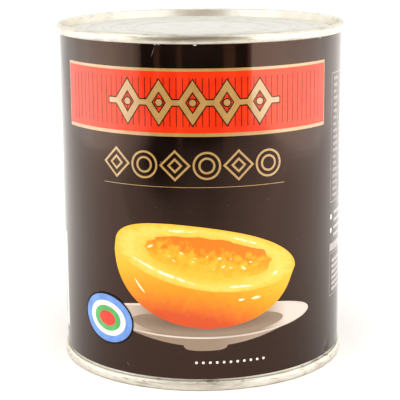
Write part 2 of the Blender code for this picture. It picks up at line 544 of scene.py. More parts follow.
def bar_row_tree():
    """A row of flat bars, each one step from the last, and shortened at random at its right end."""
    tree, given, result = new_tree(
        "Bar Row",
        {
            "Count": "NodeSocketInt",
            "First": "NodeSocketVector",
            "Step": "NodeSocketVector",
            "Width": "NodeSocketFloat",
            "Height": "NodeSocketFloat",
            "Shortest": "NodeSocketFloat",
            "Seed": "NodeSocketInt",
            "Material": "NodeSocketMaterial",
        },
    )
    bar = add_node(
        tree,
        "GeometryNodeMeshGrid",
        {"Size X": given["Width"], "Size Y": given["Height"], "Vertices X": 2, "Vertices Y": 2},
    )
    half = maths(tree, "MULTIPLY", given["Width"], 0.5)
    shift = add_node(tree, "ShaderNodeCombineXYZ", {"X": half})
    fed = {"Geometry": bar.outputs["Mesh"], "Translation": shift.outputs["Vector"]}
    from_left = add_node(tree, "GeometryNodeTransform", fed).outputs["Geometry"]
    share = random_value(tree, given["Shortest"], 1.0, given["Seed"])
    scale = add_node(tree, "ShaderNodeCombineXYZ", {"X": share, "Y": 1.0, "Z": 1.0})
    bars = on_points(tree, point_row(tree, given), from_left, scale.outputs["Vector"])
    close_tree(tree, bars, given["Material"], result)
    return tree


def ring_row_tree():
    """A row of flat rings. Four sides make a lozenge, many make a round, and a tiny hole fills it."""
    tree, given, result = new_tree(
        "Ring Row",
        {
            "Count": "NodeSocketInt",
            "First": "NodeSocketVector",
            "Step": "NodeSocketVector",
            "Sides": "NodeSocketInt",
            "Width": "NodeSocketFloat",
            "Height": "NodeSocketFloat",
            "Hole": "NodeSocketFloat",
            "Material": "NodeSocketMaterial",
        },
    )
    size = add_node(tree, "ShaderNodeCombineXYZ", {"X": given["Width"], "Y": given["Height"], "Z": 1.0})
    outer = add_node(tree, "GeometryNodeCurvePrimitiveCircle", {"Resolution": given["Sides"], "Radius": 0.5})
    hole = maths(tree, "MULTIPLY", given["Hole"], 0.5)
    fed = {"Resolution": given["Sides"], "Radius": hole}
    inner = add_node(tree, "GeometryNodeCurvePrimitiveCircle", fed)
    pair = add_node(tree, "GeometryNodeJoinGeometry")
    tree.links.new(outer.outputs["Curve"], pair.inputs["Geometry"])
    tree.links.new(inner.outputs["Curve"], pair.inputs["Geometry"])
    ring = add_node(tree, "GeometryNodeFillCurve", {"Curve": pair.outputs["Geometry"]})
    rings = on_points(tree, point_row(tree, given), ring.outputs["Mesh"], size.outputs["Vector"])
    close_tree(tree, rings, given["Material"], result)
    return tree


def speck_tree():
    """Small specks strewn at random over a rectangle."""
    tree, given, result = new_tree(
        "Specks",
        {
            "Count": "NodeSocketInt",
            "Low Corner": "NodeSocketVector",
            "High Corner": "NodeSocketVector",
            "Smallest": "NodeSocketFloat",
            "Largest": "NodeSocketFloat",
            "Seed": "NodeSocketInt",
            "Material": "NodeSocketMaterial",
        },
    )
    line = add_node(tree, "GeometryNodeMeshLine", {"Count": given["Count"]})
    place = random_value(tree, given["Low Corner"], given["High Corner"], given["Seed"], "FLOAT_VECTOR")
    strewn = add_node(tree, "GeometryNodeSetPosition", {"Geometry": line.outputs["Mesh"], "Position": place})
    speck = add_node(tree, "GeometryNodeMeshCircle", {"Vertices": 7, "Radius": 0.5}, fill_type="NGON")
    size = random_value(tree, given["Smallest"], given["Largest"], given["Seed"])
    specks = on_points(tree, strewn.outputs["Geometry"], speck.outputs["Mesh"], size)
    close_tree(tree, specks, given["Material"], result)
    return tree


def grow(tree, values, base=None):
    """Run a Geometry Nodes tree on a base mesh, or on nothing, and return its result as a plain mesh."""
    host = bpy.data.objects.new(tree.name, base or bpy.data.meshes.new(tree.name))
    bpy.context.scene.collection.objects.link(host)
    modifier = host.modifiers.new("Grow", "NODES")
    modifier.node_group = tree
    for item in tree.interface.items_tree:
        if item.item_type == "SOCKET" and item.in_out == "INPUT" and item.name in values:
            modifier[item.identifier] = values[item.name]
    depsgraph = bpy.context.evaluated_depsgraph_get()
    mesh = bpy.data.meshes.new_from_object(host.evaluated_get(depsgraph), depsgraph=depsgraph)
    bpy.data.objects.remove(host)
    return mesh


def add_piece(name, mesh, replaced=()):
    """Link a finished mesh as one piece of the can."""
    mesh.name = name
    piece = bpy.data.objects.new(name, mesh)
    bpy.context.scene.collection.objects.link(piece)
    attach(piece, BODY)
    if replaced:
        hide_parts(*replaced)


def arc(centre, radius_x, radius_z, start, end, steps):
    """Points (radius, height) on part of an ellipse, with its angles in degrees."""
    points = []
    for i in range(steps + 1):
        angle = math.radians(start + (end - start) * i / steps)
        points.append((centre[0] + radius_x * math.cos(angle), centre[1] + radius_z * math.sin(angle)))
    return points


def turned_mesh(profile, segments, material, unevenness):
    """A closed, smooth solid of revolution from (radius, height) points that start and end on the axis."""
    line = bpy.data.meshes.new("profile")
    line.from_pydata([(radius, 0.0, height) for radius, height in profile], [], [])
    mesh = grow(turned_tree(), {"Segments": segments, "Material": material}, line)
    bm = bmesh.new()
    bm.from_mesh(mesh)
    crest = 0.25 * MM
    noise.seed_set(WAVE_SEED)
    for vertex in bm.verts:
        if crest < vertex.co.z < CAN_HEIGHT - crest:
            vertex.co += noise.noise_vector(vertex.co / WAVE_LENGTH) * unevenness
            reach = vertex.co.xy.length
            if reach > SEAM_RADIUS:
                vertex.co.xy = vertex.co.xy * (SEAM_RADIUS / reach)
    bmesh.ops.recalc_face_normals(bm, faces=bm.faces)
    bm.to_mesh(mesh)
    bm.free()
    mesh.shade_smooth()
    mesh.set_sharp_from_angle(angle=SHARP_ANGLE)
    return mesh


def end_profile(settings):
    """The seamed end at the top, from the middle of its underside round to the middle of its panel."""
    plate = 0.6 * MM
    curl_reach = 0.75 * MM
    curl_rise = 1.8 * MM
    shoulder = 1.3 * MM
    crest_width = 0.2 * MM
    shoulder_reach = 0.72 * MM
    inner_rise = 0.75 * MM
    wall_inset = 0.75 * MM
    groove_turn = 0.5 * MM
    foot_inset = 1.3 * MM
    foot_reach = 0.75 * MM
    foot_rise = 0.6 * MM
    panel_turn = 0.5 * MM
    panel_inset = 0.1 * MM
    floor = CAN_HEIGHT - settings.countersink
    panel = CAN_HEIGHT - settings.panel_depth
    seam_foot = CAN_HEIGHT - settings.seam_height
    crest_outer = SEAM_RADIUS - shoulder_reach
    crest_inner = crest_outer - crest_width
    chuck_top = SEAM_RADIUS - settings.seam_width
    groove_outer = BODY_RADIUS - wall_inset
    panel_radius = settings.panel_radius
    points = [(0.0, floor - plate), (BODY_RADIUS, floor - plate), (BODY_RADIUS, seam_foot)]
    points += arc((SEAM_RADIUS - curl_reach, seam_foot + curl_rise), curl_reach, curl_rise, -90, 0, 10)
    points += arc((crest_outer, CAN_HEIGHT - shoulder), SEAM_RADIUS - crest_outer, shoulder, 0, 90, 12)
    points += arc((crest_inner, CAN_HEIGHT - inner_rise), crest_inner - chuck_top, inner_rise, 90, 180, 8)
    points += arc((groove_outer - groove_turn, floor + groove_turn), groove_turn, groove_turn, 0, -90, 6)
    points += arc((panel_radius + foot_inset, floor + foot_rise), foot_reach, foot_rise, 270, 190, 5)
    points += arc((panel_radius - panel_inset, panel - panel_turn), panel_turn, panel_turn, 10, 90, 6)
    bead_steps = 10
    for radius in BEAD_RADII:
        for i in range(bead_steps + 1):
            share = i / bead_steps
            swell = (1 - math.cos(math.tau * share)) / 2
            across = radius + settings.bead_width * (0.5 - share)
            points.append((across, panel + settings.bead_height * swell))
    points.append((0.0, panel))
    return points


def relief(along, height):
    """How far the paper stands off its true cylinder at one place."""
    angle = along / LABEL_RADIUS
    x = LABEL_RADIUS * math.sin(angle)
    y = LABEL_RADIUS * math.cos(angle)
    broad = noise.noise(Vector((x / COCKLE_ROUND, y / COCKLE_ROUND, height / COCKLE_UP)))
    low = noise.noise(Vector((x / RIPPLE_ROUND, y / RIPPLE_ROUND, height / RIPPLE_UP)))
    dent_x = (along - DENT_PLACE[0]) / DENT_SIZE[0]
    dent_z = (height - DENT_PLACE[1]) / DENT_SIZE[1]
    dent = math.exp(-dent_x * dent_x - dent_z * dent_z)
    return COCKLE_DEPTH * broad + RIPPLE_DEPTH * low - DENT_DEPTH * dent


def on_label(along, height, lift):
    """The point in space that lies a little above a place on the label."""
    radius = LABEL_RADIUS + relief(along, height) + lift
    angle = along / LABEL_RADIUS
    return Vector((radius * math.sin(angle), -radius * math.cos(angle), height))


def slice_flat(bm, step):
    """Cut a flat mesh on a square grid, so that it can follow the label."""
    reach = 0.0001 * MM
    for axis in (0, 1):
        places = [vertex.co[axis] for vertex in bm.verts]
        normal = Vector((1.0, 0.0, 0.0)) if axis == 0 else Vector((0.0, 1.0, 0.0))
        first = math.floor(min(places) / step) + 1
        last = math.ceil(max(places) / step)
        for i in range(first, last):
            cut = normal * (i * step)
            everything = bm.verts[:] + bm.edges[:] + bm.faces[:]
            bmesh.ops.bisect_plane(bm, geom=everything, dist=reach, plane_co=cut, plane_no=normal)


def thicken(bm, depth):
    """Turn a flat mesh into a closed one, its other face that far below it."""
    raised = bmesh.ops.extrude_face_region(bm, geom=bm.faces[:], use_keep_orig=True)
    lower = [item for item in raised["geom"] if isinstance(item, bmesh.types.BMVert)]
    bmesh.ops.translate(bm, verts=lower, vec=(0.0, 0.0, -depth))
    bmesh.ops.recalc_face_normals(bm, faces=bm.faces)


def filled(*loops):
    """A flat shape inside its first loop and outside the others."""
    bm = bmesh.new()
    rings = [[Vector((x, y, 0.0)) for x, y in loop] for loop in loops]
    vertices = [bm.verts.new(point) for ring in rings for point in ring]
    for corners in geometry.tessellate_polygon(rings):
        bm.faces.new([vertices[i] for i in corners])
    return bm


def grown(tree, values):
    """A flat shape made by a Geometry Nodes tree."""
    mesh = grow(tree, values)
    bm = bmesh.new()
    bm.from_mesh(mesh)
    return bm


def print_piece(name, layers):
    """Press flat shapes onto the label as one piece. A layer is (flat shape, level, material)."""
    whole = bmesh.new()
    mesh = bpy.data.meshes.new(name)
    for flat, level, material in layers:
        if material.name not in mesh.materials:
            mesh.materials.append(material)
        index = mesh.materials.find(material.name)
        slice_flat(flat, SLICE)
        thicken(flat, LAYER_THICKNESS)
        for face in flat.faces:
            face.material_index = index
        for vertex in flat.verts:
            vertex.co = on_label(vertex.co.x, vertex.co.y, LAYER_STEP * level + vertex.co.z)
        part = bpy.data.meshes.new("layer")
        flat.to_mesh(part)
        flat.free()
        whole.from_mesh(part)
        bpy.data.meshes.remove(part)
    bmesh.ops.recalc_face_normals(whole, faces=whole.faces)
    whole.to_mesh(mesh)
    whole.free()
    mesh.shade_smooth()
    mesh.set_sharp_from_angle(angle=SHARP_ANGLE)
    add_piece(name, mesh)


def rectangle(left, right, low, high):
    """The corners of an upright rectangle."""
    return [(left, low), (right, low), (right, high), (left, high)]


def oval(centre, half_width, half_height, turn=0.0, count=72, wobble=0.0, sweep=360.0):
    """Points round an oval, or part of one, turned by an angle in degrees, and uneven if it has a wobble."""
    spin = Matrix.Rotation(math.radians(turn), 2)
    points = []
    steps = count if sweep >= 360.0 else count - 1
    for i in range(count):
        angle = math.radians(sweep * i / steps)
        swell = 1 + wobble * (math.sin(3 * angle + 0.7) + 0.6 * math.sin(5 * angle + 2.1))
        point = spin @ Vector((half_width * math.cos(angle) * swell, half_height * math.sin(angle) * swell))
        points.append((centre[0] + point.x, centre[1] + point.y))
    return points


def smooth_loop(points, steps=6):
    """A closed smooth outline through a few points."""
    count = len(points)
    outline = []
    for i in range(count):
        before, here, after, beyond = (Vector(points[(i + k) % count]) for k in (-1, 0, 1, 2))
        for j in range(steps):
            t = j / steps
            bend = (2 * before - 5 * here + 4 * after - beyond) * t * t
            curl = (3 * here - before - 3 * after + beyond) * t * t * t
            point = (2 * here + (after - before) * t + bend + curl) / 2
            outline.append((point.x, point.y))
    return outline


class CAN_OT_make_ends(bpy.types.Operator):
    """Make the two seamed ends"""

    bl_idname = "can.make_ends"
    bl_label = "Make Ends"

    def execute(self, context):
        settings = context.scene.can_tinplate
        top = end_profile(settings)
        bottom = [(radius, CAN_HEIGHT - height) for radius, height in top]
        upper = tin_material("tinplate top", settings, soil_share=0.2, seam_share=1.0)
        # The bottom's crest gets a line of painted shade where it meets the floor
        lower = tin_material(
            "tinplate bottom", settings, soil_share=0.7, roughness=(0.44, 0.58), foot_line=0.6
        )
        for name, profile, material in (("top_end", top, upper), ("bottom_end", bottom, lower)):
            mesh = turned_mesh(profile, settings.segments, material, settings.unevenness)
            add_piece(name + "_turned", mesh, [name])
        return {"FINISHED"}


class CAN_OT_finish_body(bpy.types.Operator):
    """Give the body, which the label covers, its tinplate"""

    bl_idname = "can.finish_body"
    bl_label = "Finish Body"

    def execute(self, context):
        material = tin_material("tinplate body", context.scene.can_tinplate, soil_share=0.4)
        for material_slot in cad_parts["can_body"].material_slots:
            material_slot.material = material
        return {"FINISHED"}


class CAN_OT_make_label(bpy.types.Operator):
    """Make the sheet of dark glossy paper, wrapped round the can and lapped at the back"""

    bl_idname = "can.make_label"
    bl_label = "Make Label"

    def lap_lift(self, along, settings):
        """How far the outer end of the paper lifts to lie on its inner end."""
        lead = 5 * MM
        rise_length = 4.5 * MM
        start = HALF_TURN - settings.lap / 2 - lead
        share = min(max((along - start) / rise_length, 0.0), 1.0)
        return (settings.thickness + LAYER_STEP) * share * share * (3 - 2 * share)

    def execute(self, context):
        settings = context.scene.can_label
        steps_round = 300
        steps_up = 96
        reach = HALF_TURN + settings.lap / 2
        size = Matrix.Diagonal((reach, (LABEL_HEAD - LABEL_FOOT) / 2, 1.0, 1.0))
        place = Matrix.Translation((0.0, (LABEL_HEAD + LABEL_FOOT) / 2, 0.0)) @ size
        bm = bmesh.new()
        bmesh.ops.create_grid(bm, x_segments=steps_round, y_segments=steps_up, size=1.0, matrix=place)
        for vertex in bm.verts:
            if vertex.co.y < LABEL_FOOT + NEAR:
                uneven = noise.noise(Vector((vertex.co.x / EDGE_WAVE, EDGE_NOISE_ROW, 0.0)))
                sag = math.exp(-((vertex.co.x / SAG_REACH) ** 2))
                vertex.co.y += EDGE_UNEVENNESS * uneven - SAG_DEPTH * sag
        thicken(bm, settings.thickness)
        ends = [face for face in bm.faces if abs(face.calc_center_median().x) > reach - NEAR]
        for vertex in bm.verts:
            lift = vertex.co.z + self.lap_lift(vertex.co.x, settings)
            vertex.co = on_label(vertex.co.x, vertex.co.y, lift)
        bmesh.ops.recalc_face_normals(bm, faces=bm.faces)
        for face in ends:
            face.material_index = 1
        mesh = bpy.data.meshes.new("label_sheet")
        bm.to_mesh(mesh)
        bm.free()
        edge_shade = (0.7, 0.66, 0.6)
        ink = print_material("dark label ink", settings.ink, settings.ink_light, patch=7 * MM)
        edge = print_material("paper edge", settings.paper, edge_shade, patch=2 * MM, roughness=0.7)
        mesh.materials.append(ink)
        mesh.materials.append(edge)
        mesh.shade_smooth()
        mesh.set_sharp_from_angle(angle=SHARP_ANGLE)
        add_piece("label_sheet", mesh, ["label"])
        return {"FINISHED"}


class CAN_OT_print_panel(bpy.types.Operator):
    """Print the red panel with its gold frame and fine stripes"""

    bl_idname = "can.print_panel"
    bl_label = "Print Red Panel"

    def execute(self, context):
        settings = context.scene.can_panel
        left = settings.centre - settings.width / 2
        right = settings.centre + settings.width / 2
        side_line = 0.3 * MM
        head_line = 0.95 * MM
        foot_line = 1.15 * MM
        foot_margin = 2.1 * MM
        head_margin = 2.05 * MM
        gold = gold_ink("gold frame ink", settings)
        red = print_material("red panel ink", settings.red_deep, settings.red, patch=6 * MM, specular=0.7)
        dark = print_material("stripe ink", settings.stripe, settings.stripe_light, patch=3 * MM)
        field_foot = settings.foot + foot_line
        field_head = settings.head - head_line
        frame_shape = filled(rectangle(left, right, settings.foot, settings.head))
        field = filled(rectangle(left + side_line, right - side_line, field_foot, field_head))
        stripe_foot = field_foot + foot_margin
        stripe_head = field_head - head_margin
        first = settings.centre - settings.stripe_step * (settings.stripes - 1) / 2
        stripes = grown(
            bar_row_tree(),
            {
                "Count": settings.stripes,
                "First": (first - settings.stripe_width / 2, (stripe_foot + stripe_head) / 2, 0.0),
                "Step": (settings.stripe_step, 0.0, 0.0),
                "Width": settings.stripe_width,
                "Height": stripe_head - stripe_foot,
                "Shortest": 1.0,
                "Seed": 1,
                "Material": dark,
            },
        )
        print_piece("red_panel", [(frame_shape, 1, gold), (field, 2, red), (stripes, 3, dark)])
        return {"FINISHED"}


class CAN_OT_print_ornaments(bpy.types.Operator):
    """Print the bold chain of lozenges on the panel, and the thin gold row with its rule below it"""

    bl_idname = "can.print_ornaments"
    bl_label = "Print Ornaments"

    def lozenge_layers(self, settings, gold, dark):
        """Open gold lozenges with a dark outline, a gold bead in each, and bars that link them."""
        count = 5
        step = 11.2 * MM
        width = 9.8 * MM
        height = 14.6 * MM
        stroke = 2.0 * MM
        line = 0.42 * MM
        bead_size = 2.2 * MM
        link_width = 3.4 * MM
        link_height = 1.7 * MM
        middle = (settings.foot + settings.head) / 2
        first = (settings.centre - step * (count - 1) / 2, middle, 0.0)
        reach = width * height / 2 / math.hypot(width, height)
        row = {"Count": count, "First": first, "Step": (step, 0.0, 0.0), "Sides": 4}
        layers = []
        for level, grow_by, material in ((4, line, dark), (5, 0.0, gold)):
            outer = (reach + grow_by) / reach
            hole = (reach - stroke - grow_by) / (reach + grow_by)
            size = {"Width": width * outer, "Height": height * outer, "Hole": hole, "Material": material}
            layers.append((grown(ring_row_tree(), {**row, **size}), level, material))
            bead = bead_size + 2 * grow_by
            size = {"Sides": 24, "Width": bead, "Height": bead, "Hole": 0.01, "Material": material}
            layers.append((grown(ring_row_tree(), {**row, **size}), level, material))
            link = link_width + 2 * grow_by
            links = {
                "Count": count + 1,
                "First": (first[0] - step / 2 - link / 2, middle, 0.0),
                "Step": (step, 0.0, 0.0),
                "Width": link,
                "Height": link_height + 2 * grow_by,
                "Shortest": 1.0,
                "Material": material,
            }
            layers.append((grown(bar_row_tree(), links), level + 0.3, material))
        return layers

    def thin_layers(self, gold):
        """Thin gold rings and lozenges in turn, over a thin rule."""
        middle = 77.8 * MM
        lozenge = 10.6 * MM
        ring = 9.4 * MM
        first_lozenge = -30.0 * MM
        first_ring = -19.4 * MM
        step = 21.2 * MM
        thin = 0.72 * MM
        inner_inset = 1.9 * MM
        rule_low = 70.48 * MM
        rule_high = 70.65 * MM
        layers = []
        for first, sides, width in ((first_lozenge, 4, lozenge), (first_ring, 48, ring)):
            reach = width * width / 2 / math.hypot(width, width) if sides == 4 else width / 2
            for inset in (0.0, inner_inset):
                shrink = (reach - inset) / reach
                values = {
                    "Count": 3,
                    "First": (first, middle, 0.0),
                    "Step": (step, 0.0, 0.0),
                    "Sides": sides,
                    "Width": width * shrink,
                    "Height": width * shrink,
                    "Hole": (reach - inset - thin) / (reach - inset),
                    "Material": gold,
                }
                layers.append((grown(ring_row_tree(), values), 1, gold))
        rule = filled(rectangle(-35.5 * MM, 29.2 * MM, rule_low, rule_high))
        layers.append((rule, 1, gold))
        return layers

    def execute(self, context):
        settings = context.scene.can_panel
        gold = gold_ink("gold ornament ink", settings)
        dark = print_material("outline ink", settings.outline, settings.stripe, patch=3 * MM)
        print_piece("lozenge_chain", self.lozenge_layers(settings, gold, dark))
        print_piece("thin_gold_row", self.thin_layers(gold))
        return {"FINISHED"}


class CAN_OT_print_fruit(bpy.types.Operator):
    """Print a plain halved fruit on an oval dish, in fields of colour"""

    bl_idname = "can.print_fruit"
    bl_label = "Print Fruit"

    tilt = -9.0
    wobble = 0.012
    shading_share = 0.94

    def ragged(self, centre, half_width, half_height, count, depth, seed):
        """Points round an oval with a ragged edge."""
        coarse = 3.1
        fine = 8.3
        fine_share = 0.6
        points = []
        for i in range(count):
            angle = math.tau * i / count
            round_place = Vector((math.cos(angle), math.sin(angle), seed))
            uneven = noise.noise(round_place * coarse) + fine_share * noise.noise(round_place * fine)
            swell = 1 + depth * uneven
            x = centre[0] + half_width * math.cos(angle) * swell
            y = centre[1] + half_height * math.sin(angle) * swell
            points.append((x, y))
        return points

    def flesh_outline(self, settings):
        """The whole fruit: the far rim of the cut face above, and a full round belly below."""
        wide = settings.half_width
        fullness = 0.78
        lean = 0.05
        narrowing = 0.1
        steps = 44
        points = oval((0.0, 0.0), wide, settings.half_face, count=40, wobble=self.wobble, sweep=180.0)
        for i in range(1, steps):
            angle = math.pi * (1 + i / steps)
            squeeze = abs(math.sin(angle)) ** fullness
            belly = settings.drop * (1 - lean * math.cos(angle))
            points.append((wide * math.cos(angle) * (1 - narrowing * squeeze), -belly * squeeze))
        return self.placed(settings, points)

    def placed(self, settings, points):
        """Points about the middle of the cut face, tilted and moved to the fruit's place on the label."""
        spin = Matrix.Rotation(math.radians(self.tilt), 2)
        moved = [spin @ Vector(point) for point in points]
        return [(settings.centre + point.x, settings.rim + point.y) for point in moved]

    def dish_layers(self, settings):
        """A plain oval dish: bright rim, grey bowl, and the shade under the fruit, which sits deep in it."""
        sunk = 2.6 * MM
        x = settings.centre
        y = settings.rim - settings.drop + sunk
        light = settings.dish_light
        grey = settings.dish
        deep = settings.dish_dark
        warm = (0.33, 0.26, 0.20)
        pale = (0.46, 0.39, 0.33)
        rim_shade = (0.54, 0.47, 0.41)
        frame_size = (37 * MM, 6 * MM)
        shade_size = (27 * MM, 4.4 * MM)
        outer_stops = [(-1.0, light), (-0.75, grey), (0.1, grey), (0.45, warm), (0.75, grey), (1.0, light)]
        inner_stops = [(-1.0, light), (-0.7, pale), (-0.45, grey), (0.5, grey), (0.75, light), (1.0, light)]
        outside = shaded_ink("dish outside ink", outer_stops, (x, y), frame_size, axis="X")
        inside = shaded_ink("dish inside ink", inner_stops, (x, y), frame_size, axis="X")
        rim = print_material("dish rim ink", light, rim_shade, patch=9 * MM)
        shade = shaded_ink("dish shade ink", [(0.2, deep), (1.0, grey)], (x, y), shade_size)
        belly = smooth_loop(
            [
                (x - 39 * MM, y - 0.5 * MM),
                (x - 24 * MM, y - 5.6 * MM),
                (x - 7 * MM, y - 8.6 * MM),
                (x + 8 * MM, y - 8.5 * MM),
                (x + 24 * MM, y - 5.4 * MM),
                (x + 38 * MM, y - 0.2 * MM),
                (x + 20 * MM, y + 1.5 * MM),
                (x - 20 * MM, y + 1.5 * MM),
            ]
        )
        foot = smooth_loop(
            [
                (x - 7 * MM, y - 7.6 * MM),
                (x - 5.5 * MM, y - 10.2 * MM),
                (x + 5.5 * MM, y - 10.1 * MM),
                (x + 7 * MM, y - 7.6 * MM),
                (x, y - 6.0 * MM),
            ]
        )
        rim_oval = oval((x, y), 40 * MM, 6.2 * MM)
        bowl_oval = oval((x, y - 0.1 * MM), 38.8 * MM, 5.5 * MM)
        shade_oval = oval((x + 1 * MM, y - 0.9 * MM), 27 * MM, 4.2 * MM)
        return [
            (filled(foot), 1, outside),
            (filled(belly), 2, outside),
            (filled(rim_oval), 3, rim),
            (filled(bowl_oval), 4, inside),
            (filled(shade_oval), 5, shade),
        ]

    def face_layers(self, settings):
        """The cut face, the ragged hollow of the stone and the wet lights on them."""
        wide = settings.half_width
        tall = settings.half_face
        place = (settings.centre, settings.rim)
        frame_size = (wide * self.shading_share, tall)
        cut = shaded_ink(
            "cut face ink",
            [(0.3, settings.hollow), (0.62, settings.cut), (0.86, settings.cut_light), (1.0, settings.cut)],
            place,
            frame_size,
            self.tilt,
            rays=0.07,
            patches=0.06,
        )
        slope = shaded_ink(
            "hollow slope ink",
            [(-0.6, settings.cut), (-0.1, settings.hollow), (0.5, settings.hollow_deep)],
            place,
            frame_size,
            self.tilt,
            axis="Z",
            patches=0.22,
        )
        floor = shaded_ink(
            "hollow floor ink",
            [(-0.4, settings.cut), (0.05, settings.hollow), (0.35, settings.hollow_deep)],
            place,
            frame_size,
            self.tilt,
            axis="Z",
            patches=0.4,
        )
        wet = print_material("wet light ink", settings.wet, settings.cut_light, patch=1.6 * MM)
        skin_side = 0.7 * MM
        skin_end = 0.5 * MM
        steps = 110
        face = oval((0.0, 0.0), wide - skin_side, tall - skin_end, count=80, wobble=self.wobble)
        pit = self.ragged((1.0 * MM, 0.9 * MM), wide * 0.66, tall * 0.60, steps, depth=0.09, seed=1.7)
        deep = self.ragged((1.6 * MM, 1.8 * MM), wide * 0.56, tall * 0.42, steps, depth=0.16, seed=4.2)
        lights = [
            smooth_loop(
                [
                    (-26 * MM, -3.9 * MM),
                    (-14 * MM, -7.5 * MM),
                    (-3 * MM, -9.0 * MM),
                    (-3 * MM, -8.5 * MM),
                    (-13 * MM, -6.7 * MM),
                ]
            ),
            smooth_loop(
                [
                    (10 * MM, -8.6 * MM),
                    (16 * MM, -7.7 * MM),
                    (16.5 * MM, -7.0 * MM),
                    (10.5 * MM, -7.8 * MM),
                ]
            ),
            smooth_loop(
                [
                    (-13 * MM, 8.2 * MM),
                    (-5 * MM, 9.2 * MM),
                    (-5 * MM, 8.7 * MM),
                    (-12 * MM, 7.6 * MM),
                ]
            ),
            smooth_loop([(9 * MM, 8.8 * MM), (16 * MM, 7.7 * MM), (16 * MM, 7.2 * MM), (9 * MM, 8.2 * MM)]),
            oval((-19 * MM, 1.2 * MM), 1.1 * MM, 0.4 * MM, turn=35.0, count=20),
            oval((25 * MM, -2.6 * MM), 1.4 * MM, 0.5 * MM, turn=35.0, count=20),
        ]
        draw = random.Random(5)
        for drop in range(16):
            across = draw.uniform(-14, 16)
            rise = draw.uniform(-3.4, 3.0) * (1 - abs(across) / 26)
            lights.append(
                oval(
                    (across * MM, rise * MM),
                    draw.uniform(0.25, 0.75) * MM,
                    draw.uniform(0.15, 0.35) * MM,
                    turn=draw.uniform(-40, 40),
                    count=12,
                )
            )
        layers = [
            (filled(self.placed(settings, face)), 7, cut),
            (filled(self.placed(settings, pit)), 8, slope),
            (filled(self.placed(settings, deep)), 9, floor),
        ]
        layers += [(filled(self.placed(settings, points)), 10, wet) for points in lights]
        return layers

    def belly_layers(self, settings):
        """The round belly, from deep orange at the dish to yellow at the rim, with three wet lights."""
        flesh = shaded_ink(
            "flesh ink",
            [
                (-1.0, settings.flesh_low),
                (-0.86, settings.flesh_low),
                (-0.52, settings.flesh_middle),
                (-0.2, settings.flesh_high),
                (0.05, settings.cut),
            ],
            (settings.centre, settings.rim),
            (settings.half_width * self.shading_share, settings.drop),
            self.tilt,
            axis="Z",
            bend=0.22,
            patches=0.05,
        )
        wet = print_material("belly light ink", settings.wet, settings.cut_light, patch=2 * MM)
        lights = [
            smooth_loop(
                [
                    (-23 * MM, -11.5 * MM),
                    (-20.5 * MM, -13.5 * MM),
                    (-18.5 * MM, -15.5 * MM),
                    (-20.8 * MM, -14.2 * MM),
                ]
            ),
            oval((19.5 * MM, -11.2 * MM), 1.7 * MM, 0.5 * MM, turn=16.0, count=24),
            oval((14.3 * MM, -12.3 * MM), 1.1 * MM, 0.35 * MM, turn=12.0, count=24),
        ]
        layers = [(filled(self.flesh_outline(settings)), 6, flesh)]
        layers += [(filled(self.placed(settings, points)), 8, wet) for points in lights]
        return layers

    def execute(self, context):
        settings = context.scene.can_fruit
        print_piece("fruit_dish", self.dish_layers(settings))
        print_piece("fruit_half", self.belly_layers(settings) + self.face_layers(settings))
        return {"FINISHED"}


class CAN_OT_print_roundel(bpy.types.Operator):
    """Print a plain roundel of coloured rings beside the dish"""

    bl_idname = "can.print_roundel"
    bl_label = "Print Roundel"

    def execute(self, context):
        centre = (-35.6 * MM, 22.3 * MM)
        turn = -8.0
        lowest_level = 12
        # Name, half width and half height in millimetres, and the two shades of the ink
        rings = (
            ("roundel edge ink", 11.3, 9.0, (0.010, 0.006, 0.005), (0.018, 0.010, 0.008)),
            ("roundel blue ink", 10.7, 8.4, (0.10, 0.24, 0.60), (0.14, 0.31, 0.68)),
            ("roundel white ink", 8.1, 6.1, (0.74, 0.74, 0.70), (0.80, 0.79, 0.74)),
            ("roundel green ink", 6.0, 4.4, (0.06, 0.36, 0.10), (0.10, 0.42, 0.14)),
            ("roundel red ink", 3.7, 2.6, (0.66, 0.035, 0.025), (0.72, 0.06, 0.035)),
        )
        layers = []
        for i, (name, half_width, half_height, dense, thin) in enumerate(rings):
            shape = filled(oval(centre, half_width * MM, half_height * MM, turn))
            gloss = {"roughness": 0.5, "specular": 0.1} if i == 0 else {}
            layers.append((shape, lowest_level + i, print_material(name, dense, thin, **gloss)))
        print_piece("roundel", layers)
        return {"FINISHED"}


